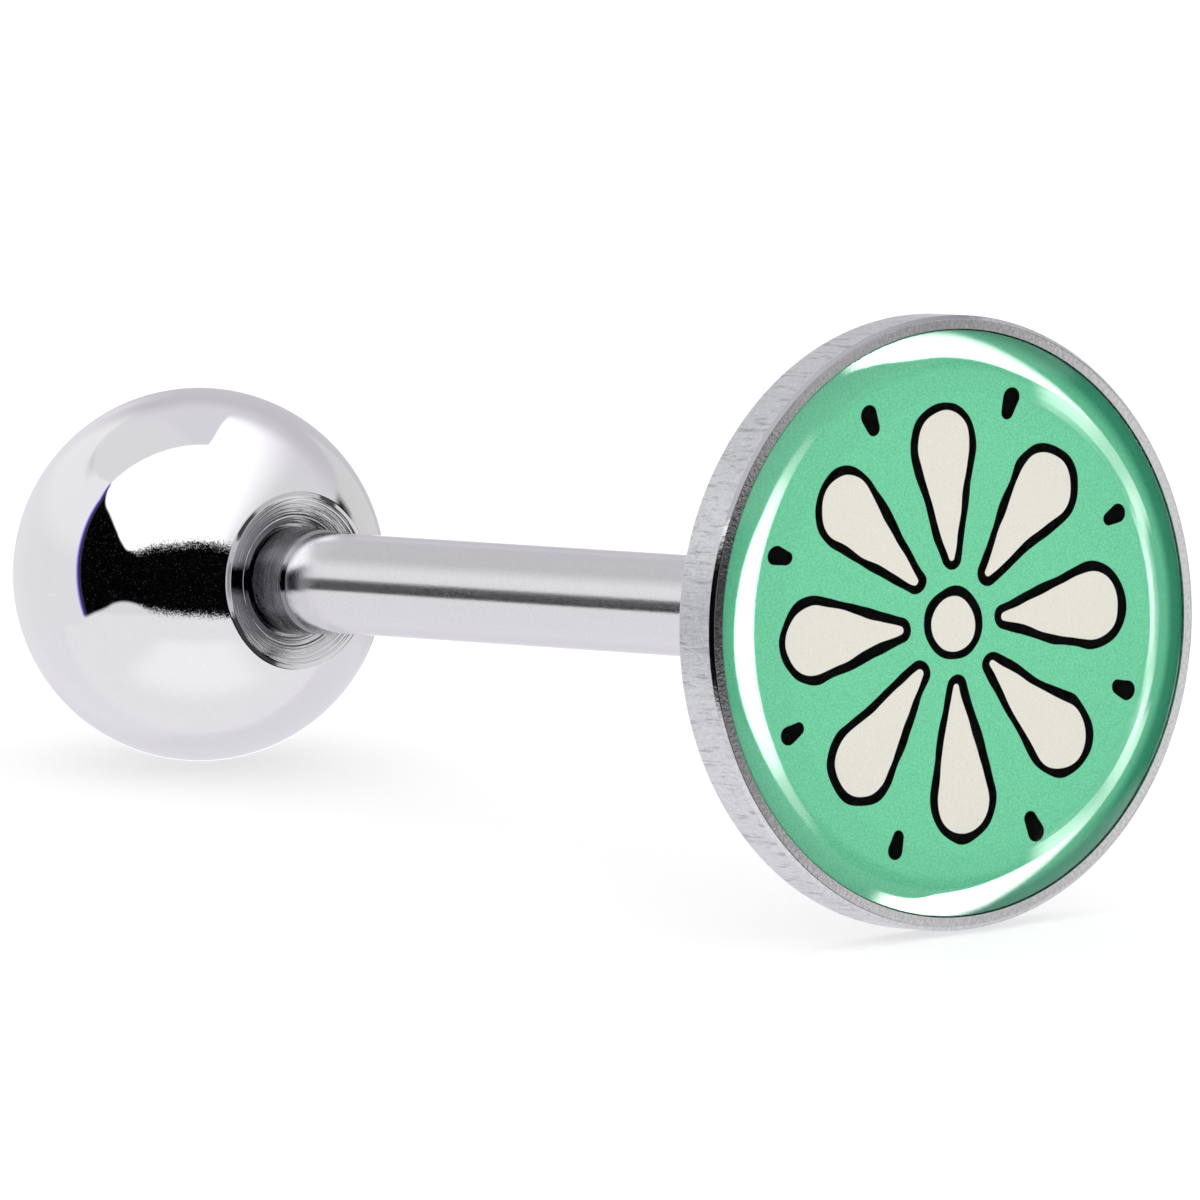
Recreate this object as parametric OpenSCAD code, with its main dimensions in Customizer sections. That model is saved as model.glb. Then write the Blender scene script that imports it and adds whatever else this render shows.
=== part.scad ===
// Tongue barbell: a straight bar with a fixed printed disc on one end and a
// ball that screws off the other. It is drawn along its own axis, from the
// ball's centre (0) towards the disc, and then laid down as it lies by itself:
// the ball and the back edge of the disc touch the surface, z = 0.

/* [Ball] */
// Diameter of the ball
ball_d = 6; // [5:0.1:8]
// Diameter of the shallow dish turned into the ball around the bar
dish_d = 2.76; // [2.4:0.02:3]
// Depth of that dish, from its rim to its floor
dish_depth = 0.15; // [0.08:0.01:0.25]
// Width of the burnished bevel around the dish's rim
rim_bevel = 0.085; // [0.05:0.005:0.15]
// Diameter of the tapped hole, at the crests of its thread
tapped_d = 1.62; // [1.6:0.01:1.7]

/* [Bar] */
// Diameter of the bar, 14 gauge
bar_d = 1.6; // [1.5:0.05:1.6]
// Length of bar between the ball and the back of the disc
bar_length = 16; // [10:0.5:20]
// Diameter of the collar that seats in the ball
collar_d = 1.72; // [1.7:0.01:1.8]
// Length of the collar outside the ball, with its chamfer
collar_length = 0.7; // [0.3:0.05:1]
// Clearance between the collar and the ball's hole
collar_gap = 0.05; // [0.02:0.01:0.08]
// Core diameter of the threaded stud
stud_d = 1.3; // [1.2:0.02:1.4]
// Length of the threaded stud
stud_length = 2; // [1.5:0.1:2.2]
// Radius of the solder fillet where the bar meets the disc's back
solder = 0.18; // [0.1:0.02:0.4]

/* [Disc] */
// Diameter of the cup that holds the printed insert
cup_d = 9.5; // [8:0.1:12]
// Height of the cup's wall, from its back to its lip
cup_h = 0.84; // [0.8:0.02:1.4]
// Thickness of the cup's back
back_t = 0.25; // [0.2:0.01:0.3]
// Width of the lip around the insert, with its chamfer
lip_w = 0.21; // [0.16:0.01:0.3]
// Chamfer between the lip and the wall
lip_chamfer = 0.055; // [0.03:0.005:0.08]
// How far the lip's face falls from its inner edge to the chamfer
lip_fall = 0.015; // [0:0.005:0.03]
// Rounding of the cup's back edge
back_round = 0.05; // [0.02:0.01:0.2]

/* [Insert] */
// Thickness of the printed insert
print_t = 0.53; // [0.3:0.01:0.6]
// Height of the clear dome over the lip, at its middle
dome_rise = 0.46; // [0.4:0.02:0.6]
// Radius of the dome's nearly flat top
dome_top_r = 36; // [30:1:40]
// Radius of the dome's rounded shoulder
dome_shoulder_r = 1.1; // [0.9:0.05:1.3]
// Gap between pieces that touch on the real one
gap = 0.02; // [0.01:0.005:0.03]

/* [Hidden] */
$fn = 160;

ball_r = ball_d / 2;
bar_r = bar_d / 2;
cup_r = cup_d / 2;
collar_r = collar_d / 2;

// heights along the axis, from the ball's centre
rim_z = sqrt(pow(ball_r, 2) - pow(dish_d / 2, 2));
dish_z = rim_z - dish_depth;
seat_z = dish_z - 0.14;
collar_z = seat_z + gap;
stud_z = collar_z - stud_length;
cup_z = rim_z + bar_length;
lip_z = cup_z + cup_h;
floor_z = cup_z + back_t;
print_z = floor_z + gap;
inner_r = cup_r - lip_w;
resin_r = inner_r - gap;
resin_edge_z = lip_z - 0.01;
// the insert leaves at least 0.02 of straight resin under the shoulder's edge
insert_t = min(print_t, resin_edge_z - 0.02 - gap / 2 - print_z);
resin_z = print_z + insert_t + gap / 2;
top_z = lip_z + dome_rise;

// the shoulder's arc passes through the resin's edge and is tangent to the top's arc
top_c = top_z - dome_top_r;
far = norm([resin_r, resin_edge_z - top_c]);
reach = dome_top_r - dome_shoulder_r;
along = (pow(far, 2) + pow(reach, 2) - pow(dome_shoulder_r, 2)) / (2 * far);
aside = sqrt(pow(reach, 2) - pow(along, 2));
edge_dir = [resin_r, resin_edge_z - top_c] / far;
shoulder_c = [edge_dir[0] * along - edge_dir[1] * aside, top_c + edge_dir[1] * along + edge_dir[0] * aside];
meet_r = shoulder_c[0] * dome_top_r / reach;

// how it lies: the back edge of the cup and the ball on one plane
roll_r = cup_r - back_round;
roll_z = cup_z + back_round;
lie = atan2(roll_r, roll_z) - asin((ball_r - back_round) / norm([roll_r, roll_z]));
x_low = -ball_r;
x_high = top_c * cos(lie) + dome_top_r;
x_mid = (x_low + x_high) / 2;

module lay() {
    translate([-x_mid, 0, ball_r])
        rotate([0, 90 - lie, 0])
            children();
}

// a quarter-round corner to cut from a profile: the corner is at the origin,
// the solid lies towards -x and +y
module corner(r) {
    difference() {
        translate([-r, -0.1]) square([r + 0.1, r + 0.1]);
        translate([-r, r]) circle(r = r, $fn = 64);
    }
}

// the ball's hole and dish, as one turned profile
module ball_hole() {
    bevel_z = rim_z - 0.011;
    rotate_extrude()
        polygon([
            [0, stud_z - 0.68],
            [tapped_d / 2, stud_z - 0.2],
            [tapped_d / 2, seat_z],
            [collar_r + collar_gap, seat_z],
            [collar_r + collar_gap, dish_z],
            [dish_d / 2 - rim_bevel * 0.4, bevel_z],
            [dish_d / 2 - rim_bevel * 0.4 + 0.3, bevel_z - 0.3 * 0.19],
            [dish_d / 2 + 0.3, ball_r + 0.5],
            [0, ball_r + 0.5]
        ]);
}

module ball() {
    color([0.80, 0.80, 0.84])
        lay()
            difference() {
                sphere(r = ball_r);
                ball_hole();
            }
}

// bar, collar and stud
module bar_profile() {
    collar_top = rim_z + collar_length - 0.09;
    polygon([
        [0, stud_z],
        [stud_d / 2 - 0.12, stud_z],
        [stud_d / 2, stud_z + 0.12],
        [stud_d / 2, collar_z],
        [collar_r - 0.03, collar_z],
        [collar_r, collar_z + 0.03],
        [collar_r, dish_z + 0.03],
        [collar_r - 0.025, collar_top],
        [bar_r, collar_top + 0.09],
        [bar_r, cup_z + 0.1],
        [0, cup_z + 0.1]
    ]);
}

// the fillet of solder between bar and cup
module solder_profile() {
    difference() {
        translate([bar_r - 0.1, cup_z - solder]) square([solder + 0.1, solder + 0.1]);
        translate([bar_r + solder, cup_z - solder]) circle(r = solder, $fn = 64);
    }
}

module cup_profile() {
    difference() {
        translate([0, cup_z]) square([cup_r, cup_h]);
        translate([cup_r, cup_z]) corner(back_round);
        translate([0, floor_z]) square([inner_r, cup_h]);
        // the lip's face and its chamfer
        polygon([
            [inner_r, lip_z],
            [cup_r - lip_chamfer, lip_z - lip_fall],
            [cup_r, lip_z - lip_fall - lip_chamfer],
            [cup_r + 0.1, lip_z - lip_fall - lip_chamfer],
            [cup_r + 0.1, lip_z + 0.1],
            [inner_r, lip_z + 0.1]
        ]);
    }
}

module cup_and_bar() {
    color([0.76, 0.76, 0.80])
        lay()
            rotate_extrude() {
                bar_profile();
                solder_profile();
                cup_profile();
            }
}

module print_disc() {
    color([0.43, 0.83, 0.63])
        lay()
            translate([0, 0, print_z])
                cylinder(r = resin_r, h = insert_t);
}

// clear resin: a straight plug in the cup, a rounded shoulder and a flat crown
module clear_dome() {
    color([0.92, 0.97, 0.95, 0.35])
        lay()
            rotate_extrude() {
                translate([0, resin_z]) square([resin_r, resin_edge_z - resin_z]);
                intersection() {
                    translate([0, top_c]) circle(r = dome_top_r, $fn = 720);
                    translate([0, resin_z]) square([meet_r, 2]);
                }
                intersection() {
                    translate(shoulder_c) circle(r = dome_shoulder_r, $fn = 180);
                    translate([meet_r, resin_edge_z]) square([2, 2]);
                }
            }
}

cup_and_bar();
ball();
print_disc();
clear_dome();
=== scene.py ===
# Tongue barbell: finely turned metal, the stud's thread, the printed insert under its clear dome, floor, light and camera.
import math

import bpy
from mathutils import Matrix, Vector


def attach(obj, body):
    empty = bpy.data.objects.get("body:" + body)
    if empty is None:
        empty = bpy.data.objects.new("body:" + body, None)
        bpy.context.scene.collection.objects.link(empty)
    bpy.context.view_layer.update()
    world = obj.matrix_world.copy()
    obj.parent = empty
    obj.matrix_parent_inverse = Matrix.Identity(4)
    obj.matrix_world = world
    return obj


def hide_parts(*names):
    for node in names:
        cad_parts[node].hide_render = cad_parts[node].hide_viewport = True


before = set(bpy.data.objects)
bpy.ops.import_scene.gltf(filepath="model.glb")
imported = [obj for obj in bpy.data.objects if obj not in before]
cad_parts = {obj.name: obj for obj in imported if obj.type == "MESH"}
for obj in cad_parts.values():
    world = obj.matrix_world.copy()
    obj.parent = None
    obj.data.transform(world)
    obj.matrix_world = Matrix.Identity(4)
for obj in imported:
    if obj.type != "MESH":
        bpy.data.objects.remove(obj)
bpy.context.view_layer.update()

MM = 0.001

# ---------------------------------------------------------------- sizes, in mm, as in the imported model
BALL_R = 3.0
DISH_R, DISH_DEPTH, RIM_BEVEL = 1.38, 0.15, 0.085
TAPPED_R = 0.81
BAR_R, BAR_LENGTH = 0.8, 16.0
COLLAR_R, COLLAR_LENGTH, COLLAR_GAP = 0.86, 0.7, 0.05
STUD_R, STUD_LENGTH = 0.65, 2.0
SOLDER = 0.18
CUP_R, CUP_H, BACK_T, LIP_W = 4.75, 0.84, 0.25, 0.21
LIP_CHAMFER, LIP_FALL, BACK_ROUND = 0.055, 0.015, 0.05
PRINT_T, DOME_RISE, DOME_TOP_R, DOME_SHOULDER_R, GAP = 0.53, 0.46, 36.0, 1.1, 0.02

RIM_Z = math.sqrt(BALL_R**2 - DISH_R**2)
DISH_Z = RIM_Z - DISH_DEPTH
SEAT_Z = DISH_Z - 0.14
COLLAR_Z = SEAT_Z + GAP
STUD_Z = COLLAR_Z - STUD_LENGTH
CUP_Z = RIM_Z + BAR_LENGTH
LIP_Z = CUP_Z + CUP_H
FLOOR_Z = CUP_Z + BACK_T
PRINT_Z = FLOOR_Z + GAP
INNER_R = CUP_R - LIP_W
RESIN_R = INNER_R - GAP
RESIN_EDGE_Z = LIP_Z - 0.01
INSERT_T = min(PRINT_T, RESIN_EDGE_Z - 0.02 - GAP / 2 - PRINT_Z)
RESIN_Z = PRINT_Z + INSERT_T + GAP / 2
TOP_Z = LIP_Z + DOME_RISE
TOP_C = TOP_Z - DOME_TOP_R
COLLAR_TOP = RIM_Z + COLLAR_LENGTH - 0.09

_far = math.hypot(RESIN_R, RESIN_EDGE_Z - TOP_C)
_reach = DOME_TOP_R - DOME_SHOULDER_R
_along = (_far**2 + _reach**2 - DOME_SHOULDER_R**2) / (2 * _far)
_aside = math.sqrt(_reach**2 - _along**2)
_er, _ez = RESIN_R / _far, (RESIN_EDGE_Z - TOP_C) / _far
SHOULDER_R, SHOULDER_Z = _er * _along - _ez * _aside, TOP_C + _ez * _along + _er * _aside
MEET_R = SHOULDER_R * DOME_TOP_R / _reach

_roll_r, _roll_z = CUP_R - BACK_ROUND, CUP_Z + BACK_ROUND
LIE = math.atan2(_roll_r, _roll_z) - math.asin((BALL_R - BACK_ROUND) / math.hypot(_roll_r, _roll_z))
X_MID = (-BALL_R + TOP_C * math.cos(LIE) + DOME_TOP_R) / 2
AXIS = Vector((math.cos(LIE), 0, math.sin(LIE)))
DOWN = Vector((math.sin(LIE), 0, -math.cos(LIE)))
BALL_C = Vector((-X_MID, 0, BALL_R))
# from the turned frame (x across and down, z along the bar from the ball's centre, mm) to the row frame (metres)
LAY = Matrix((
    (DOWN.x * MM, 0, AXIS.x * MM, BALL_C.x * MM),
    (0, MM, 0, 0),
    (DOWN.z * MM, 0, AXIS.z * MM, BALL_C.z * MM),
    (0, 0, 0, 1),
))


# ---------------------------------------------------------------- where the camera stands, and directions as it sees them
EYE, AIM = Vector((0.295575, -0.227609, 0.066682)), Vector((-0.004522, 0.005039, 0.002589))
_back = EYE - AIM
FRONT = Vector((_back.x, _back.y, 0)).normalized()
RIGHT = Vector((-FRONT.y, FRONT.x, 0))
UP = Vector((0, 0, 1))


def direction(az, el):
    """az in degrees from the camera, positive to its right; el above the horizon."""
    a, e = math.radians(az), math.radians(el)
    return (FRONT * math.cos(a) + RIGHT * math.sin(a)) * math.cos(e) + UP * math.sin(e)


SHELL = 5.0
# the way from the camera to the middle of the disc's face
SEEN = ((BALL_C + AXIS * LIP_Z) * MM - EYE).normalized()


def mirrored(psi, r):
    """For a place on the dome, by its bearing (0 down, 90 right) and distance from the axis: the same for the dome's
    normal that would mirror the same light from the middle of the disc. The camera is close enough for these to differ."""
    a = math.radians(psi)
    out = DOWN * math.cos(a) + Vector((0, 1, 0)) * math.sin(a)
    if r < MEET_R:
        sine, radius, middle = r / DOME_TOP_R, DOME_TOP_R, TOP_C
    else:
        sine, radius, middle = (r - SHOULDER_R) / DOME_SHOULDER_R, DOME_SHOULDER_R, SHOULDER_Z
    cosine = math.sqrt(1 - sine * sine)
    normal = out * sine + AXIS * cosine
    place = (BALL_C + out * r + AXIS * (middle + radius * cosine)) * MM
    ray = (place - EYE).normalized()
    ray = ray - normal * (2 * ray.dot(normal))
    look = (place + ray * (SHELL - place.dot(ray))).normalized()
    half = (look - SEEN).normalized()
    sine = math.sqrt(max(0.0, 1 - half.dot(AXIS) ** 2))
    bearing = math.degrees(math.atan2(half.y, half.dot(DOWN)))
    bearing += 360 * round((psi - bearing) / 360)
    return bearing, min(DOME_TOP_R * sine, SHOULDER_R + DOME_SHOULDER_R * sine)


# ---------------------------------------------------------------- meshes
def arc(cr, cz, radius, start, end, steps):
    """Points of an arc in the profile plane, angles in degrees from +r towards +z."""
    return [
        (cr + radius * math.cos(math.radians(start + (end - start) * i / steps)),
         cz + radius * math.sin(math.radians(start + (end - start) * i / steps)), False)
        for i in range(steps + 1)
    ]


def held(profile, near=0.006, longer=0.05):
    """Adds a ring close to each soft end of a long straight run, so that its shading stays flat."""
    out = []
    for i, p in enumerate(profile):
        out.append(p)
        if i + 1 == len(profile):
            break
        q = profile[i + 1]
        run = math.hypot(q[0] - p[0], q[1] - p[1])
        if run > longer:
            for t, soft in ((near / run, not p[2] and p[0] > 1e-6), (1 - near / run, not q[2] and q[0] > 1e-6)):
                if soft:
                    out.append((p[0] + (q[0] - p[0]) * t, p[1] + (q[1] - p[1]) * t, False))
    return out


def mesh_object(name, verts, faces, sharp=(), slots=None):
    mesh = bpy.data.meshes.new(name)
    mesh.from_pydata([LAY @ Vector(v) for v in verts], [], faces)
    mesh.polygons.foreach_set("use_smooth", [True] * len(mesh.polygons))
    if sharp:
        marked = mesh.attributes.new("sharp_edge", "BOOLEAN", "EDGE")
        wanted = {tuple(sorted(e)) for e in sharp}
        marked.data.foreach_set("value", [tuple(sorted(e.vertices)) in wanted for e in mesh.edges])
    if slots:
        mesh.polygons.foreach_set("material_index", slots)
    mesh.update()
    ob = bpy.data.objects.new(name, mesh)
    bpy.context.scene.collection.objects.link(ob)
    return ob


def turned(name, profile, around, slot_of=None):
    """A closed turned solid. profile runs from the axis back to the axis as (r, z, hard edge), with the metal on its left."""
    rings, verts = [], []
    for r, z, hard in profile:
        if r < 1e-7:
            rings.append([len(verts)])
            verts.append((0, 0, z))
        else:
            rings.append(list(range(len(verts), len(verts) + around)))
            verts += [(r * math.cos(2 * math.pi * k / around), r * math.sin(2 * math.pi * k / around), z) for k in range(around)]
    faces, slots, sharp = [], [], []
    for i in range(len(rings) - 1):
        a, b = rings[i], rings[i + 1]
        middle = ((profile[i][0] + profile[i + 1][0]) / 2, (profile[i][1] + profile[i + 1][1]) / 2)
        slot = slot_of(*middle) if slot_of else 0
        for k in range(around):
            n = (k + 1) % around
            if len(a) == 1:
                faces.append((a[0], b[n], b[k]))
            elif len(b) == 1:
                faces.append((a[k], a[n], b[0]))
            else:
                faces.append((a[k], a[n], b[n], b[k]))
            slots.append(slot)
    for i, p in enumerate(profile):
        if p[2] and len(rings[i]) > 1:
            sharp += [(rings[i][k], rings[i][(k + 1) % around]) for k in range(around)]
    return mesh_object(name, verts, faces, sharp, slots if slot_of else None)


def eased(before, corner, after, size, steps=4):
    """A corner of a profile with its sharp edge taken off."""
    def on(p):
        run = math.hypot(p[0] - corner[0], p[1] - corner[1])
        return corner[0] + (p[0] - corner[0]) * size / run, corner[1] + (p[1] - corner[1]) * size / run
    a, b = on(before), on(after)
    points = []
    for i in range(steps + 1):
        t = i / steps
        points.append(tuple(
            (1 - t) ** 2 * a[k] + 2 * t * (1 - t) * corner[k] + t ** 2 * b[k] for k in (0, 1)) + (False,))
    return points


def dish_rings():
    """The cone turned into the ball around the bar, with the fine steps that the tool left."""
    r0, z0, r1, z1 = COLLAR_R + COLLAR_GAP, DISH_Z, DISH_R - RIM_BEVEL * 0.4, RIM_Z - 0.011
    points, steps = [], 160
    for i in range(1, steps):
        t = i / steps
        fade = min(1, t * 12, (1 - t) * 12)
        cut = 0.0008 * math.sin(t * 43) + 0.0007 * math.sin(t * 83 + 1.3) + 0.0004 * math.sin(t * 131 + 0.4)
        cut -= 0.012 * max(0.0, 1 - abs(t - 0.30) / 0.05)
        points.append((r0 + (r1 - r0) * t, z0 + (z1 - z0) * t + cut * fade, False))
    return points[::-1]


def ball_profile():
    bevel_z = RIM_Z - 0.011
    b0 = DISH_R - RIM_BEVEL * 0.4
    # where the burnished bevel meets the sphere
    lo, hi = b0, b0 + 0.3
    for _ in range(60):
        mid = (lo + hi) / 2
        z = bevel_z - (mid - b0) * 0.19
        if math.hypot(mid, z) < BALL_R:
            lo = mid
        else:
            hi = mid
    edge_r, edge_z = lo, bevel_z - (lo - b0) * 0.19
    end = math.degrees(math.atan2(edge_z, edge_r))
    points = [(0, -BALL_R, False)] + arc(0, 0, BALL_R, -90, end, 190)[1:-1]
    points = points[:-1] + eased((points[-2][0], points[-2][1]), (edge_r, edge_z), (b0, bevel_z), 0.018) + [(b0, bevel_z, True)] + dish_rings()
    points += [
        (COLLAR_R + COLLAR_GAP, DISH_Z, True), (COLLAR_R + COLLAR_GAP, SEAT_Z, True), (TAPPED_R, SEAT_Z, True),
        (TAPPED_R, STUD_Z - 0.2, True), (0, STUD_Z - 0.68, False),
    ]
    return points


def bar_profile():
    points = [
        (0, STUD_Z, False), (STUD_R - 0.12, STUD_Z, True), (STUD_R, STUD_Z + 0.12, True), (STUD_R, COLLAR_Z, True),
        (COLLAR_R - 0.03, COLLAR_Z, True), (COLLAR_R, COLLAR_Z + 0.03, True), (COLLAR_R, DISH_Z + 0.03, False),
        (COLLAR_R - 0.025, COLLAR_TOP, True), (BAR_R, COLLAR_TOP + 0.09, True),
    ]
    points += arc(BAR_R + SOLDER, CUP_Z - SOLDER, SOLDER, 180, 90, 16)
    points += arc(CUP_R - BACK_ROUND, CUP_Z + BACK_ROUND, BACK_ROUND, -90, 0, 14)
    wall_top = (CUP_R, LIP_Z - LIP_FALL - LIP_CHAMFER)
    lip_out, lip_in = (CUP_R - LIP_CHAMFER, LIP_Z - LIP_FALL), (INNER_R, LIP_Z)
    points += eased((CUP_R, CUP_Z), wall_top, lip_out, 0.008) + eased(wall_top, lip_out, lip_in, 0.012)
    points += [(*lip_in, True), (INNER_R, FLOOR_Z, True), (0, FLOOR_Z, False)]
    return points


def dome_profile():
    start = math.degrees(math.atan2(RESIN_EDGE_Z - SHOULDER_Z, RESIN_R - SHOULDER_R))
    end = math.degrees(math.atan2(TOP_C + math.sqrt(DOME_TOP_R**2 - MEET_R**2) - SHOULDER_Z, MEET_R - SHOULDER_R))
    points = [(0, RESIN_Z, False), (RESIN_R, RESIN_Z, True), (RESIN_R, RESIN_EDGE_Z, True)]
    points += arc(SHOULDER_R, SHOULDER_Z, DOME_SHOULDER_R, start, end, 48)[1:]
    lean = math.degrees(math.asin(MEET_R / DOME_TOP_R))
    points += arc(0, TOP_C, DOME_TOP_R, 90 - lean, 90, 40)[1:-1]
    points.append((0, TOP_Z, False))
    return points


def thread(name, z0, z1, pitch=0.35, root=0.635, crest=0.785, per_turn=44):
    """The stud's thread: one ridge wound round the core, running out at both ends."""
    turns = (z1 - z0) / pitch
    steps = int(turns * per_turn)
    verts, faces = [], []
    for i in range(steps + 1):
        t = i / steps
        angle = 2 * math.pi * turns * t
        z = z0 + (z1 - z0) * t
        full = min(1.0, t * turns / 0.45, (1 - t) * turns / 0.45)
        top = root + (crest - root) * max(full, 0.02)
        for r, dz in ((root, -0.44 * pitch), (top, -0.07 * pitch), (top, 0.07 * pitch), (root, 0.44 * pitch), (root - 0.05, 0)):
            verts.append((r * math.cos(angle), r * math.sin(angle), z + dz))
    for i in range(steps):
        for k in range(5):
            n = (k + 1) % 5
            faces.append((i * 5 + k, (i + 1) * 5 + k, (i + 1) * 5 + n, i * 5 + n))
    faces.append((0, 1, 2, 3, 4))
    last = steps * 5
    faces.append((last + 4, last + 3, last + 2, last + 1, last))
    ob = mesh_object(name, verts, faces)
    ob.data.polygons.foreach_set("use_smooth", [False] * len(ob.data.polygons))
    return ob


# ---------------------------------------------------------------- node helpers
class Tree:
    def __init__(self, tree):
        self.tree = tree
        tree.nodes.clear()

    def node(self, kind, inputs=None, **props):
        n = self.tree.nodes.new(kind)
        for k, v in props.items():
            setattr(n, k, v)
        for k, v in (inputs or {}).items():
            self.put(n.inputs[k], v)
        return n

    def put(self, socket, v):
        if isinstance(v, bpy.types.NodeSocket):
            self.tree.links.new(v, socket)
        elif v is not None:
            socket.default_value = v

    def math(self, op, a, b=None, c=None, clamp=False):
        n = self.tree.nodes.new("ShaderNodeMath")
        n.operation, n.use_clamp = op, clamp
        for i, v in enumerate((a, b, c)):
            self.put(n.inputs[i], v)
        return n.outputs[0]

    def add(self, a, b): return self.math("ADD", a, b)
    def sub(self, a, b): return self.math("SUBTRACT", a, b)
    def mul(self, a, b): return self.math("MULTIPLY", a, b)
    def high(self, a, b): return self.math("MAXIMUM", a, b)
    def low(self, a, b): return self.math("MINIMUM", a, b)

    def rise(self, v, start, end):
        """0 below start, 1 above end, smooth between."""
        n = self.node("ShaderNodeMapRange", interpolation_type="SMOOTHSTEP", clamp=True)
        for i, x in enumerate((v, start, end, 0.0, 1.0)):
            self.put(n.inputs[i], x)
        return n.outputs[0]

    def span(self, v, a, b, soft):
        """1 between a and b with soft edges."""
        return self.mul(self.rise(v, a - soft / 2, a + soft / 2), self.sub(1.0, self.rise(v, b - soft / 2, b + soft / 2)))

    def mix(self, fac, a, b):
        n = self.tree.nodes.new("ShaderNodeMix")
        n.data_type, n.clamp_factor = "RGBA", True
        self.put(n.inputs[0], fac)
        self.put(n.inputs[6], a if isinstance(a, bpy.types.NodeSocket) else (*a, 1.0))
        self.put(n.inputs[7], b if isinstance(b, bpy.types.NodeSocket) else (*b, 1.0))
        return n.outputs[2]

    def blend(self, fac, a, b):
        """a to b as plain numbers."""
        return self.add(a, self.mul(fac, self.sub(b, a)))

    def noise(self, vector, scale, detail=2.0, rough=0.5, distort=0.0):
        n = self.node("ShaderNodeTexNoise", {"Vector": vector, "Scale": scale, "Detail": detail, "Roughness": rough, "Distortion": distort})
        return n.outputs[0]

    def scaled(self, vector, x, y, z):
        return self.node("ShaderNodeVectorMath", {0: vector, 1: (x, y, z)}, operation="MULTIPLY").outputs[0]

    def parts(self, vector):
        return self.node("ShaderNodeSeparateXYZ", {0: vector}).outputs

    def joined(self, x, y, z):
        return self.node("ShaderNodeCombineXYZ", {0: x, 1: y, 2: z}).outputs[0]

    def turned_coords(self):
        """Coordinates in the turned frame, in mm: the vector, distance from the axis, angle round it and height along it."""
        m = self.node("ShaderNodeMapping", {"Vector": self.node("ShaderNodeTexCoord").outputs["Object"]}, vector_type="TEXTURE")
        m.inputs["Location"].default_value = tuple(LAY.to_translation())
        m.inputs["Rotation"].default_value = tuple(Matrix((
            (DOWN.x, 0, AXIS.x), (0, 1, 0), (DOWN.z, 0, AXIS.z))).to_euler("XYZ"))
        m.inputs["Scale"].default_value = (MM, MM, MM)
        v = m.outputs[0]
        x, y, z = self.parts(v)
        r = self.math("SQRT", self.add(self.mul(x, x), self.mul(y, y)))
        return v, r, self.math("ARCTAN2", y, x), z

    def dot(self, vector, axis):
        return self.node("ShaderNodeVectorMath", {0: vector, 1: tuple(axis)}, operation="DOT_PRODUCT").outputs["Value"]

    def bearings(self, look):
        """Azimuth and elevation of a direction, in degrees."""
        az = self.math("ARCTAN2", self.dot(look, RIGHT), self.dot(look, FRONT))
        return self.mul(az, 180 / math.pi), self.mul(self.math("ARCSINE", self.dot(look, UP)), 180 / math.pi)

    def half(self, look):
        """The normal that mirrors a direction to the camera from the disc: how far it leans off the axis, and which way (0 down, 90 right), in degrees."""
        h = self.node("ShaderNodeVectorMath", {0: look, 1: tuple(SEEN)}, operation="SUBTRACT").outputs[0]
        h = self.node("ShaderNodeVectorMath", {0: h}, operation="NORMALIZE").outputs[0]
        lean = self.mul(self.math("ARCCOSINE", self.low(self.dot(h, AXIS), 1.0)), 180 / math.pi)
        return lean, self.mul(self.math("ARCTAN2", self.dot(h, (0, 1, 0)), self.dot(h, DOWN)), 180 / math.pi)

    def curve(self, value, points, low, high):
        """A smooth curve through (value, result) points; results lie between low and high, and values between the first and the last point's."""
        n = self.tree.nodes.new("ShaderNodeFloatCurve")
        start, end = points[0][0], points[-1][0]
        self.put(n.inputs["Factor"], 1.0)
        self.put(n.inputs["Value"], self.mul(self.sub(value, start), 1 / (end - start)))
        c = n.mapping.curves[0]
        for i, (x, y) in enumerate(points):
            at = ((x - start) / (end - start), (y - low) / (high - low))
            if i in (0, len(points) - 1):
                c.points[0 if i == 0 else -1].location = at
            else:
                c.points.new(*at)
        for point in c.points:
            point.handle_type = "AUTO_CLAMPED"
        n.mapping.update()
        return self.add(low, self.mul(n.outputs[0], high - low))

    def glow(self, strength, colour=(1.0, 1.0, 1.0)):
        """Light that is added to whatever lies behind."""
        n = self.node("ShaderNodeEmission", {"Color": (*colour, 1.0), "Strength": strength})
        clear = self.node("ShaderNodeBsdfTransparent")
        both = self.node("ShaderNodeAddShader")
        self.tree.links.new(clear.outputs[0], both.inputs[0])
        self.tree.links.new(n.outputs[0], both.inputs[1])
        return both.outputs[0]

    def bump(self, height, distance, strength=1.0, normal=None):
        n = self.node("ShaderNodeBump", {"Strength": strength, "Distance": distance, "Height": height})
        if normal is not None:
            self.put(n.inputs["Normal"], normal)
        return n.outputs[0]

    def out(self, shader):
        o = self.node("ShaderNodeOutputMaterial")
        self.tree.links.new(shader, o.inputs["Surface"])


def material(name):
    m = bpy.data.materials.new(name)
    m.use_nodes = True
    return m, Tree(m.node_tree)


def metal(t, colour, rough, normal):
    p = t.node("ShaderNodeBsdfPrincipled")
    p.inputs["Metallic"].default_value = 1.0
    t.put(p.inputs["Base Color"], colour)
    t.put(p.inputs["Roughness"], rough)
    t.put(p.inputs["Normal"], normal)
    t.out(p.outputs[0])
    return p


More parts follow.
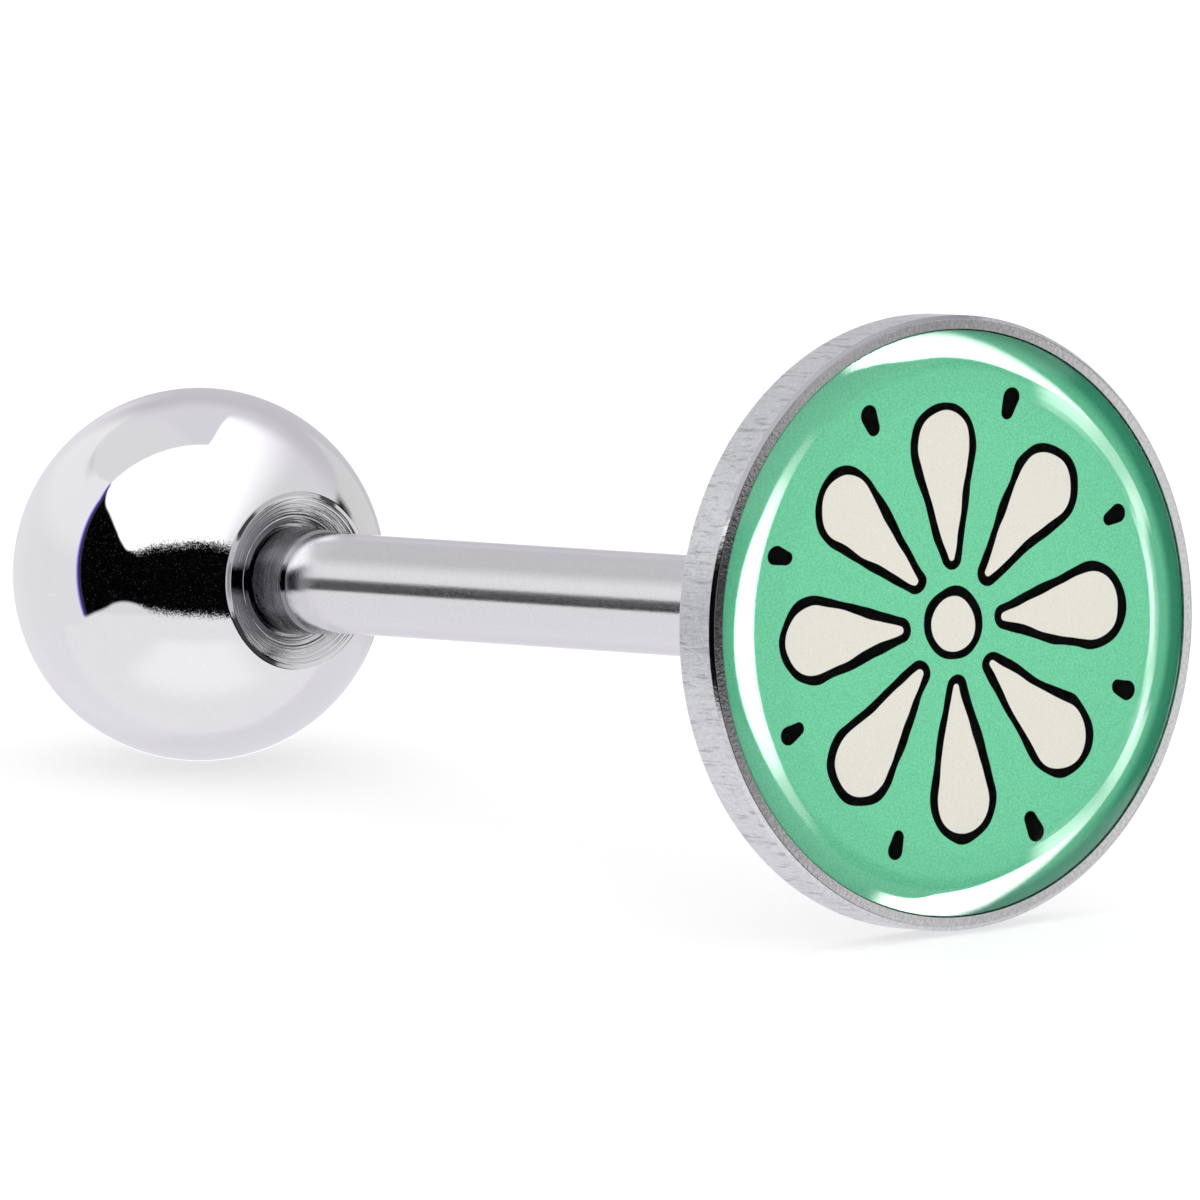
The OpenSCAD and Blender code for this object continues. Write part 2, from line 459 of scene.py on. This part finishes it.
# ---------------------------------------------------------------- materials
def make_chrome():
    """The polished ball, mirror bright, with fine turned rings in its dish."""
    m, t = material("polished_ball")
    v, r, ang, z = t.turned_coords()
    in_dish = t.mul(t.rise(z, 2.2, 2.3), t.sub(1.0, t.rise(r, 1.345, 1.36)))
    haze = t.noise(v, 1.3, 2.0)
    rough = t.blend(in_dish, t.add(0.018, t.mul(haze, 0.012)), 0.055)
    ring_wear = t.noise(t.joined(t.mul(r, 34.0), t.mul(ang, 0.9), 0.0), 1.0, 3.0, 0.6)
    height = t.add(t.mul(ring_wear, in_dish), t.mul(t.noise(v, 26.0, 2.0), 0.012))
    normal = t.bump(height, 0.0000035, 1.0)
    colour = t.mix(t.mul(in_dish, t.rise(ring_wear, 0.35, 0.7)), (0.83, 0.825, 0.84), (0.70, 0.695, 0.715))
    metal(t, colour, rough, normal)
    return m


def make_bar():
    """The bar: ground and polished, with an even fine grain."""
    m, t = material("ground_bar")
    v, r, ang, z = t.turned_coords()
    grain = t.noise(v, 34.0, 3.0, 0.7)
    slow = t.noise(t.joined(t.mul(ang, 2.0), t.mul(r, 2.0), t.mul(z, 0.5)), 1.0, 2.0)
    rough = t.add(0.05, t.mul(grain, 0.04))
    normal = t.bump(t.add(grain, t.mul(slow, 0.3)), 0.0000012, 1.0)
    colour = t.mix(t.rise(grain, 0.3, 0.7), (0.745, 0.74, 0.755), (0.81, 0.805, 0.82))
    metal(t, colour, rough, normal)
    return m


def make_collar():
    """The collar that seats in the ball: turned, with the tool's rings on it. Its colour is painted dark as shade of
    the dish it sits in, and darker still next to the ball.
    """
    m, t = material("turned_collar")
    v, r, ang, z = t.turned_coords()
    rings = t.noise(t.joined(t.mul(ang, 0.8), t.mul(r, 20.0), t.mul(z, 30.0)), 1.0, 3.0, 0.6)
    rough = t.add(0.05, t.mul(rings, 0.07))
    # painted shade: the collar's metal is given a dark colour throughout, standing in for the shade of the ball's dish
    colour = t.mix(t.rise(rings, 0.35, 0.7), (0.24, 0.235, 0.25), (0.37, 0.365, 0.385))
    # painted shade: darker still towards the ball, where the dish shades it most
    colour = t.mix(t.rise(z, RIM_Z - 0.02, RIM_Z + 0.24), (0.11, 0.108, 0.12), colour)
    metal(t, colour, rough, t.bump(rings, 0.000005))
    return m


def make_wall():
    """The cup's wall and back: satin, with short scratches along the axis and small dimples."""
    m, t = material("satin_cup")
    v, r, ang, z = t.turned_coords()
    stroke = t.noise(t.joined(t.mul(ang, 84.0), t.mul(z, 2.2), t.mul(r, 2.2)), 1.0, 3.0, 0.6, 0.4)
    fine = t.noise(t.joined(t.mul(ang, 120.0), t.mul(z, 14.0), t.mul(r, 14.0)), 1.0, 2.0, 0.6)
    dimple = t.rise(t.noise(v, 9.0, 3.0, 0.55), 0.58, 0.72)
    dark = t.mul(t.rise(stroke, 0.52, 0.68), 0.62)
    rough = t.add(0.27, t.mul(stroke, 0.10))
    height = t.sub(t.add(t.mul(stroke, -0.9), t.mul(fine, 0.3)), t.mul(dimple, 0.6))
    normal = t.bump(height, 0.000009, 1.0)
    colour = t.mix(t.rise(fine, 0.3, 0.7), (0.675, 0.685, 0.70), (0.78, 0.79, 0.805))
    colour = t.mix(dark, colour, (0.34, 0.35, 0.365))
    metal(t, colour, rough, normal)
    return m


def make_lip():
    """The cup's lip: burnished, mottled, with small nicks along its outer edge. Its chamfer is painted a little darker
    all round and much darker over one part of the ring, as painted shade.
    """
    m, t = material("burnished_lip")
    v, r, ang, z = t.turned_coords()
    nick = t.noise(t.joined(t.mul(ang, 55.0), t.mul(r, 14.0), t.mul(z, 14.0)), 1.0, 3.0, 0.6)
    mottle = t.noise(v, 16.0, 3.0, 0.65)
    rough = t.add(0.07, t.mul(nick, 0.05))
    normal = t.bump(t.add(t.mul(nick, 0.6), mottle), 0.0000024, 1.0)
    colour = t.mix(t.rise(mottle, 0.3, 0.7), (0.65, 0.645, 0.67), (0.80, 0.795, 0.81))
    around = t.mul(t.math("MODULO", t.add(ang, 2 * math.pi), 2 * math.pi), 180 / math.pi)
    chamfer = t.rise(r, CUP_R - LIP_CHAMFER - 0.012, CUP_R - LIP_CHAMFER + 0.006)
    # painted shade: the chamfer's colour is darkened slightly all round and strongly between bearings 169 and 246
    # degrees, in place of a dark reflection
    chamfer_shade = t.mul(chamfer, t.high(0.14, t.span(t.add(around, t.mul(t.sub(nick, 0.5), 12.0)), 169, 246, 8.0)))
    colour = t.mix(chamfer_shade, colour, (0.31, 0.31, 0.33))
    metal(t, colour, rough, normal)
    return m


def make_thread():
    m, t = material("cut_thread")
    v, r, ang, z = t.turned_coords()
    grain = t.noise(t.joined(t.mul(ang, 3.0), t.mul(r, 40.0), t.mul(z, 40.0)), 1.0, 3.0, 0.6)
    rough = t.add(0.22, t.mul(grain, 0.14))
    colour = t.mix(t.rise(grain, 0.3, 0.7), (0.58, 0.58, 0.60), (0.74, 0.74, 0.76))
    metal(t, colour, rough, t.bump(grain, 0.000004))
    return m


MINT = (0.169, 0.591, 0.350)
CREAM = (0.767, 0.709, 0.651)
INK = (0.0012, 0.0012, 0.0014)


def make_print():
    """Printed insert: mint ground, a rosette of eight cream petals with black outlines, and black dots between them."""
    m, t = material("printed_insert")
    v, r, ang, z = t.turned_coords()
    x, y, _ = t.parts(v)
    # the hand of the outline: a slow wobble
    wob = t.node("ShaderNodeTexNoise", {"Vector": v, "Scale": 0.9, "Detail": 1.0}).outputs["Color"]
    wx, wy, _ = t.parts(wob)
    x = t.add(x, t.mul(t.sub(wx, 0.5), 0.16))
    y = t.add(y, t.mul(t.sub(wy, 0.5), 0.16))
    rad = t.math("SQRT", t.add(t.mul(x, x), t.mul(y, y)))
    turn = t.math("ARCTAN2", y, x)

    def folded(offset, count):
        """The angle within one of count equal sectors, from its middle."""
        sector = 2 * math.pi / count
        k = t.math("ADD", turn, offset + sector / 2 + 4 * math.pi)
        return t.sub(t.math("MODULO", k, sector), sector / 2)

    def petal(offset, start, length, r1, r2, count=8):
        """Distance to an egg whose small end is at start from the centre."""
        a = folded(offset, count)
        px = t.math("ABSOLUTE", t.mul(rad, t.math("SINE", a)))
        py = t.sub(t.mul(rad, t.math("COSINE", a)), start)
        b = (r1 - r2) / length
        c = math.sqrt(1 - b * b)
        k = t.add(t.mul(px, -b), t.mul(py, c))
        low_end = t.sub(t.math("SQRT", t.add(t.mul(px, px), t.mul(py, py))), r1)
        far = t.sub(py, length)
        high_end = t.sub(t.math("SQRT", t.add(t.mul(px, px), t.mul(far, far))), r2)
        side = t.sub(t.add(t.mul(px, c), t.mul(py, b)), r1)
        first = t.math("LESS_THAN", k, 0.0)
        last = t.math("GREATER_THAN", k, c * length)
        middle = t.blend(last, side, high_end)
        return t.blend(first, middle, low_end)

    def ink_edge(d, at):
        return t.sub(1.0, t.rise(d, at - 0.006, at + 0.006))

    eggs = petal(0.0, 1.02, 1.72, 0.13, 0.60)
    dots = petal(math.pi / 8, 3.42, 0.22, 0.11, 0.15)
    centre = t.sub(rad, 0.50)
    line = t.add(0.072, t.mul(t.sub(t.noise(v, 1.6, 1.0), 0.5), 0.07))
    outer = t.low(eggs, centre)
    grain = t.noise(v, 34.0, 2.0, 0.75)
    ground = t.mix(t.rise(grain, 0.28, 0.72), tuple(c * 0.86 for c in MINT), tuple(c * 1.14 for c in MINT))
    cream = t.mix(t.rise(grain, 0.28, 0.72), tuple(c * 0.95 for c in CREAM), tuple(c * 1.05 for c in CREAM))
    n_out = t.sub(1.0, t.rise(t.sub(outer, line), -0.006, 0.006))
    n_in = t.sub(1.0, t.rise(t.add(outer, line), -0.006, 0.006))
    colour = t.mix(n_out, ground, INK)
    colour = t.mix(n_in, colour, cream)
    colour = t.mix(ink_edge(dots, 0.0), colour, INK)
    p = t.node("ShaderNodeBsdfPrincipled")
    t.put(p.inputs["Base Color"], colour)
    t.put(p.inputs["Roughness"], t.add(0.55, t.mul(grain, 0.1)))
    p.inputs["Specular IOR Level"].default_value = 0.1
    t.put(p.inputs["Normal"], t.bump(grain, 0.0000015))
    t.out(p.outputs[0])
    return m


def make_resin():
    """The clear dome: its shoulder mirrors the light by angle and lets the rest through, and near its edge it is tinted
    dark green where one looks along it, a painted shade at the rim.
    The flat crown mirrors faintly, so that the print can be read from the front."""
    m, t = material("clear_resin")
    v, r, ang, z = t.turned_coords()
    normal = t.bump(t.noise(v, 0.5, 0.0), 0.0000008)
    facing = t.node("ShaderNodeLayerWeight", {"Blend": 0.5}).outputs["Facing"]
    # painted shade: the dome's outer ring is tinted dark green where it is seen at a slant
    edge_shade_tint = t.mix(t.mul(t.rise(facing, 0.30, 0.46), t.rise(r, 3.86, 4.06)), (0.985, 0.995, 0.99), (0.36, 0.54, 0.53))
    clear = t.node("ShaderNodeBsdfTransparent", {"Color": edge_shade_tint})
    gloss = t.node("ShaderNodeBsdfGlossy", {"Color": (1, 1, 1, 1)})
    gloss.inputs["Roughness"].default_value = 0.03
    t.put(gloss.inputs["Normal"], normal)
    front = t.sub(1.0, t.node("ShaderNodeNewGeometry").outputs["Backfacing"])
    seen = t.mul(t.rise(z, RESIN_EDGE_Z - 0.012, RESIN_EDGE_Z + 0.004), front)
    fresnel = t.node("ShaderNodeFresnel", {"IOR": 1.45, "Normal": normal}).outputs[0]
    mix = t.node("ShaderNodeMixShader")
    t.put(mix.inputs[0], t.mul(t.mul(fresnel, seen), t.blend(t.rise(r, 3.50, 3.63), 0.07, 1.0)))
    t.tree.links.new(clear.outputs[0], mix.inputs[1])
    t.tree.links.new(gloss.outputs[0], mix.inputs[2])
    t.out(mix.outputs[0])
    return m


# ---------------------------------------------------------------- pieces
def region(r, z):
    """Which finish a place on the bar and cup has: 0 bar, 1 cup's wall and back, 2 lip, 3 collar."""
    if r > INNER_R - 1e-4 and z > LIP_Z - LIP_FALL - LIP_CHAMFER - 0.001:
        return 2
    if r > BAR_R + 1e-4 and COLLAR_Z - 0.01 < z < COLLAR_TOP + 0.09:
        return 3
    return 1 if z > CUP_Z - 1e-4 and r > BAR_R + SOLDER * 0.5 else 0


ball = turned("ball_fine", held(ball_profile()), 224)
ball.data.materials.append(make_chrome())
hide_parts("ball")
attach(ball, "ball_end")

bar = turned("cup_and_bar_fine", held(bar_profile()), 288, region)
for made in (make_bar(), make_wall(), make_lip(), make_collar()):
    bar.data.materials.append(made)
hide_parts("cup_and_bar")
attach(bar, "bar")

insert = turned("print_fine", [(0, PRINT_Z, False), (RESIN_R, PRINT_Z, True), (RESIN_R, PRINT_Z + INSERT_T, True), (0, PRINT_Z + INSERT_T, False)], 192)
insert.data.materials.append(make_print())
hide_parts("print_disc")
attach(insert, "bar")

dome = turned("dome_fine", held(dome_profile()), 256)
dome.data.materials.append(make_resin())
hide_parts("clear_dome")
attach(dome, "bar")

ridge = thread("stud_thread", STUD_Z + 0.30, COLLAR_Z - 0.22)
ridge.data.materials.append(make_thread())
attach(ridge, "bar")

# ---------------------------------------------------------------- camera
cam_data = bpy.data.cameras.new("camera")
cam_data.lens, cam_data.sensor_width, cam_data.sensor_fit = 720, 36, "HORIZONTAL"
cam_data.clip_start, cam_data.clip_end = 0.01, 20
camera = bpy.data.objects.new("camera", cam_data)
camera.location = EYE
camera.rotation_euler = (AIM - EYE).to_track_quat("-Z", "Y").to_euler()
bpy.context.scene.collection.objects.link(camera)
bpy.context.scene.camera = camera

# ---------------------------------------------------------------- floor
bpy.ops.mesh.primitive_circle_add(vertices=96, radius=1.2, fill_type="NGON", location=(0, 0, 0))
floor = bpy.context.object
floor.name = "floor"
m, t = material("pale_floor")
soft = t.noise(t.node("ShaderNodeTexCoord").outputs["Object"], 90.0, 3.0)
p = t.node("ShaderNodeBsdfPrincipled")
t.put(p.inputs["Base Color"], t.mix(soft, (0.49, 0.49, 0.49), (0.51, 0.51, 0.51)))
p.inputs["Roughness"].default_value = 0.9
p.inputs["Specular IOR Level"].default_value = 0.0
p.inputs["Emission Color"].default_value = (1, 1, 1, 1)
p.inputs["Emission Strength"].default_value = 0.52
t.out(p.outputs[0])
m.cycles.emission_sampling = "NONE"
floor.data.materials.append(m)
floor.visible_glossy = False
floor.visible_shadow = False

# ---------------------------------------------------------------- light
# The studio is seen by direction. Matt surfaces see an even white room; polished ones see its cards, soft box and table.
world = bpy.data.worlds.new("studio")
bpy.context.scene.world = world
world.use_nodes = True
world.cycles.sampling_method = "NONE"
t = Tree(world.node_tree)
look = t.node("ShaderNodeTexCoord").outputs["Generated"]
az, el = t.bearings(look)
ahead, aside, height = t.dot(look, FRONT), t.dot(look, RIGHT), t.dot(look, UP)


def grit_of(t, look):
    return t.sub(t.noise(look, 75.0, 3.0, 0.75), 0.5)


def far_right(t, az, el):
    """The unlit side of the room, to the right of the camera."""
    under = t.curve(az, [(40, -20), (46, -24), (52, -30), (60, -33), (71, -30), (80, -22), (170, -21)], -40, 40)
    tall = t.mul(t.sub(1.0, t.rise(el, 18.5, 23.5)), t.rise(t.sub(el, under), -2.5, 2.5))
    return t.mul(t.span(az, 44, 158, 6.0), tall)


def slot(t, look, az, el):
    """How dark the narrow gap between the left card's two halves is."""
    grit = grit_of(t, look)
    off = t.math("ABSOLUTE", t.add(t.add(az, 104.7), t.mul(t.add(el, 4.0), 0.2)))
    there = t.sub(1.0, t.rise(t.add(off, grit), 3.7, 4.6))
    there = t.mul(there, t.rise(t.add(el, t.mul(grit, 2.0)), -10.6, -9.8))
    there = t.mul(there, t.sub(1.0, t.rise(t.add(el, t.mul(grit, 2.4)), 5.0, 7.4)))
    return t.mul(there, t.blend(t.rise(el, 0.5, 5.5), t.blend(t.rise(el, -6.5, -1.5), 0.99, 0.97), 0.74))


def card_full(t, el):
    return t.blend(t.rise(el, 5.0, 20.0), 0.865, 0.95)


def card_fall(t, az, el):
    """How the white card on the left falls off towards its far upper corner."""
    return t.mul(t.mul(t.rise(t.mul(az, -1.0), 106.0, 130.0), t.rise(el, 5.0, 28.0)), 0.32)


def card_level(t, az, el):
    return t.mul(card_full(t, el), t.sub(1.0, card_fall(t, az, el)))


grit = grit_of(t, look)
# the dark gap of the room in front
top_edge = t.curve(az, [(-180, 18), (-170, 32), (-155, 36), (-140, 36), (-120, 39), (-105, 42), (-92, 46), (-88, 43), (-80, 38), (-70, 34.5), (-60, 29), (-52, 23), (-46, 20), (-38, 21.5), (-30, 25), (-15, 27.5), (0, 29.5), (12, 28), (25, 24), (38, 18), (48, 18), (180, 18)], -90, 90)
low_edge = t.curve(az, [(-180, -18), (-76, -18), (-68, -16), (-60, -13.5), (-52, -10), (-45, -9), (-38, -10), (-30, -13), (-12, -15.5), (0, -16), (15, -17), (30, -17), (36, -19), (42, -23), (48, -22), (180, -18)], -90, 90)
rough_top = t.mul(grit, t.mul(t.span(az, -42, 60, 12.0), 32.0))
rough_low = t.mul(grit, t.mul(t.rise(az, -42, -25), 22.0))
left_edge = t.sub(t.sub(-76.5, t.mul(t.add(el, 17.0), 0.19)), t.mul(t.high(t.sub(el, 38.0), 0.0), 0.35))
gap = t.mul(t.rise(t.sub(t.add(top_edge, rough_top), el), -0.9, 0.9), t.rise(t.sub(el, t.add(low_edge, rough_low)), -1.2, 1.2))
fringe = t.mul(gap, t.span(t.sub(az, left_edge), -1.2, 2.0, 1.8))
gap = t.mul(t.mul(gap, t.rise(t.sub(az, left_edge), -0.8, 0.8)), t.sub(1.0, t.rise(az, 44.0, 50.0)))
sparkle = t.add(t.mul(t.rise(t.noise(look, 90.0, 1.0), 0.66, 0.78), 0.12), t.mul(fringe, 0.15))
unlit = t.high(gap, far_right(t, az, el))

# walls, left card and soft box
far_side = t.high(t.rise(az, 95, 150), t.sub(1.0, t.rise(az, -170, -148)))
upper = t.blend(t.mul(far_side, t.sub(1.0, t.rise(el, 30.0, 50.0))), 0.815, 0.65)
card = t.mul(t.span(az, -172, -76, 8.0), t.rise(t.sub(top_edge, el), -1.0, 1.0))
upper = t.blend(card, upper, card_level(t, az, el))
over = t.high(height, 0.02)
u, v = t.math("DIVIDE", ahead, over), t.math("DIVIDE", aside, over)
rear = t.add(t.add(0.115, t.mul(t.low(v, 0.0), 0.095)), t.mul(t.rise(v, 0.06, 0.22), 0.62))
fade = t.add(0.02, t.mul(t.rise(v, 0.08, 0.3), 0.23))
inside = t.node("ShaderNodeMapRange", {0: t.math("DIVIDE", t.add(u, rear), fade), 1: -1.0, 2: 1.0}, interpolation_type="SMOOTHSTEP", clamp=True).outputs[0]
inside = t.mul(inside, t.high(t.sub(1.0, t.rise(az, -93.0, -91.0)), t.rise(t.sub(el, top_edge), -0.9, 0.9)))
inside = t.mul(inside, t.rise(el, 4.0, 10.0))
upper = t.blend(inside, upper, t.sub(1.5, t.mul(t.rise(v, 0.12, 1.0), 0.72)))
behind = t.rise(t.dot(look, direction(180, -10)), math.cos(math.radians(13)), math.cos(math.radians(7)))
upper = t.blend(behind, upper, 1.22)

# table
under = t.low(height, -0.02)
tu, tv = t.math("DIVIDE", ahead, t.mul(under, -1.0)), t.math("DIVIDE", aside, t.mul(under, -1.0))
table = t.blend(t.rise(tu, -0.45, -0.15), 0.84, 0.90)
table = t.add(table, t.mul(t.span(tu, -0.30, -0.24, 0.06), 0.03))
table = t.add(table, t.mul(t.mul(t.span(tu, 0.35, 1.5, 0.5), t.span(tv, -0.7, 0.6, 0.5)), 0.12))
table = t.blend(t.span(az, -155, -97, 26.0), table, t.high(table, 0.91))
table = t.mul(table, t.add(1.0, t.mul(t.sub(t.noise(look, 24.0, 3.0, 0.6), 0.5), 0.09)))
edge = t.add(-16.0, t.mul(t.span(az, -165.0, -77.0, 15.0), -6.0))
below = t.sub(1.0, t.rise(t.sub(el, edge), -1.5, 1.5))
below = t.mul(below, t.sub(1.0, t.mul(behind, 1.0)))
level = t.blend(below, upper, table)

level = t.mul(level, t.sub(1.0, t.mul(unlit, t.sub(0.9985, sparkle))))
level = t.mul(level, t.sub(1.0, slot(t, look, az, el)))
lilac = t.high(t.mul(below, t.sub(1.0, t.rise(tu, -0.5, -0.15))), t.mul(far_side, t.sub(1.0, below)))
colour = t.mix(lilac, (1.0, 0.995, 1.012), (0.965, 0.945, 1.0))
colour = t.mix(fringe, colour, (0.32, 0.24, 1.0))
polished = t.node("ShaderNodeBackground", {"Color": colour, "Strength": level})
even = t.node("ShaderNodeBackground", {"Color": (1, 1, 1, 1), "Strength": t.add(1.12, t.mul(height, 0.06))})
either = t.node("ShaderNodeMixShader", {0: t.node("ShaderNodeLightPath").outputs["Is Glossy Ray"]})
t.tree.links.new(even.outputs[0], either.inputs[1])
t.tree.links.new(polished.outputs[0], either.inputs[2])
o = t.node("ShaderNodeOutputWorld")
t.tree.links.new(either.outputs[0], o.inputs["Surface"])


def patch(name, az, el, lit, strength):
    """A part of a large shell around the studio that adds light by direction, only in the gloss of the pieces in lit."""
    cols, rows = 24, 16
    verts = [
        tuple(direction(az[0] + (az[1] - az[0]) * i / cols, el[0] + (el[1] - el[0]) * k / rows) * SHELL)
        for k in range(rows + 1) for i in range(cols + 1)
    ]
    faces = [
        (k * (cols + 1) + i, k * (cols + 1) + i + 1, (k + 1) * (cols + 1) + i + 1, (k + 1) * (cols + 1) + i)
        for k in range(rows) for i in range(cols)
    ]
    mesh = bpy.data.meshes.new(name)
    mesh.from_pydata(verts, [], faces)
    ob = bpy.data.objects.new(name, mesh)
    bpy.context.scene.collection.objects.link(ob)
    m, t = material(name + "_light")
    place = t.node("ShaderNodeNewGeometry").outputs["Position"]
    look = t.node("ShaderNodeVectorMath", {0: place}, operation="NORMALIZE").outputs[0]
    t.out(t.glow(strength(t, look, *t.bearings(look))))
    m.cycles.emission_sampling = "NONE"
    mesh.materials.append(m)
    ob.visible_camera = ob.visible_diffuse = ob.visible_transmission = ob.visible_volume_scatter = ob.visible_shadow = False
    pieces = bpy.data.collections.new(name + "_pieces")
    for piece in lit:
        pieces.objects.link(piece)
    ob.light_linking.receiver_collection = pieces
    return ob


def metal_fill(t, look, az, el):
    """What the lip, the dish and its rim see on the dark side, by the normal that mirrors it."""
    lean, psi = t.half(look)
    lip = t.curve(psi, [(-180, 0.13), (-175, 0.30), (-168, 0.45), (-160, 0.54), (-150, 0.46), (-140, 0.48), (-130, 0.42), (-122, 0.26), (-117, 0.0), (-90, 0.0), (-85, 0.10), (-80, 0.22), (-70, 0.31), (-60, 0.38), (-50, 0.46), (-40, 0.58), (-30, 0.74), (-20, 0.80), (-8, 0.66), (4, 0.56), (14, 0.56), (24, 0.68), (34, 0.75), (44, 0.82), (62, 0.82), (72, 0.76), (84, 0.80), (132, 0.80), (142, 0.70), (152, 0.60), (162, 0.49), (172, 0.35), (180, 0.13)], 0, 1)
    rim = t.curve(psi, [(-180, 0.62), (-146, 0.50), (-140, 0.06), (-126, 0.06), (-121, 0.32), (-76, 0.34), (-70, 0.05), (-30, 0.05), (-24, 0.50), (0, 0.75), (90, 0.80), (146, 0.75), (150, 0.08), (160, 0.08), (164, 0.60), (180, 0.62)], 0, 1)
    cone = t.curve(psi, [(-180, 0.0), (50, 0.0), (57, 0.95), (76, 0.95), (80.5, 0.02), (92.5, 0.02), (96, 0.60), (126, 0.62), (134, 0.0), (180, 0.0)], 0, 1)
    level = t.blend(t.rise(lean, 7.6, 8.6), lip, t.blend(t.rise(lean, 13.0, 14.2), rim, cone))
    level = t.blend(t.rise(az, 120.0, 130.0), level, 0.72)
    return t.mul(level, far_right(t, az, el))


def card_fill(t, look, az, el):
    """The ball sees the left card whole and evenly lit."""
    full = t.mul(card_full(t, el), card_fall(t, az, el))
    full = t.mul(full, t.mul(t.rise(az, -168.0, -150.0), t.sub(1.0, t.rise(el, 33.0, 38.0))))
    return t.add(t.mul(slot(t, look, az, el), card_level(t, az, el)), full)


# Where the dome shows its lights: bearing (0 down, 90 right), inner and outer edge from the axis, strength.
SHINE = [
    (-190, 4.04, 4.31, 1), (-180, 4.13, 4.46, 1), (-170, 4.21, 4.54, 1), (-160, 4.38, 4.56, 1), (-153, 4.45, 4.56, 0),
    (-145, 4.14, 4.24, 0), (-138, 4.12, 4.23, 0.12), (-130, 4.11, 4.25, 0.3), (-120, 4.10, 4.27, 0.9), (-110, 4.10, 4.33, 1),
    (-100, 4.10, 4.37, 1), (-90, 4.10, 4.385, 1), (-80, 4.10, 4.365, 1), (-70, 4.10, 4.31, 0.9), (-60, 4.12, 4.27, 0.35),
    (-50, 4.14, 4.25, 0.15), (-40, 4.18, 4.30, 0), (-28, 4.36, 4.50, 0), (-20, 4.34, 4.56, 1), (-10, 4.17, 4.54, 1),
    (0, 4.06, 4.42, 1), (10, 3.97, 4.22, 1), (20, 3.895, 4.06, 1), (30, 3.84, 3.965, 0.95), (40, 3.79, 3.895, 0.92),
    (50, 3.755, 3.845, 0.9), (60, 3.725, 3.805, 0.88), (70, 3.70, 3.775, 0.86), (80, 3.68, 3.75, 0.86), (90, 3.67, 3.74, 0.86),
    (100, 3.675, 3.75, 0.86), (110, 3.70, 3.775, 0.86), (120, 3.745, 3.83, 0.88), (130, 3.795, 3.895, 0.9), (140, 3.85, 3.96, 0.92),
    (150, 3.905, 4.03, 0.95), (160, 3.965, 4.14, 1), (170, 4.04, 4.31, 1), (180, 4.13, 4.46, 1), (190, 4.21, 4.54, 1),
]


def dome_shine(t, look, az, el):
    """The lights that the clear dome mirrors in its shoulder."""
    lean, psi = t.half(look)
    sine = t.math("SINE", t.mul(lean, math.pi / 180))
    r = t.low(t.mul(sine, DOME_TOP_R), t.add(SHOULDER_R, t.mul(sine, DOME_SHOULDER_R)))
    inner = t.curve(psi, [mirrored(a, lo) for a, lo, hi, gain in SHINE], 3.0, 5.0)
    outer = t.curve(psi, [mirrored(a, hi) for a, lo, hi, gain in SHINE], 3.0, 5.0)
    gain = t.curve(psi, [(mirrored(a, (lo + hi) / 2)[0], gain) for a, lo, hi, gain in SHINE], 0.0, 1.0)
    soft = t.math("ABSOLUTE", t.math("COSINE", t.mul(psi, math.pi / 180)))
    soft = t.add(0.024, t.mul(t.math("POWER", soft, 6.0), 0.086))
    there = t.mul(t.rise(t.sub(r, inner), -0.024, 0.024), t.sub(1.0, t.rise(t.math("DIVIDE", t.sub(r, outer), soft), -1.0, 1.0)))
    return t.mul(t.mul(there, gain), 26.0)


patch("metal_fill", (38, 164), (-38, 32), (ball, bar), metal_fill)
patch("ball_fill", (-170, -97), (-16, 40), (ball,), card_fill)
patch("dome_shine", (-80, 150), (-85, 85), (dome,), dome_shine)

bpy.context.scene.view_settings.view_transform = "Standard"
bpy.context.scene.view_settings.look = "None"
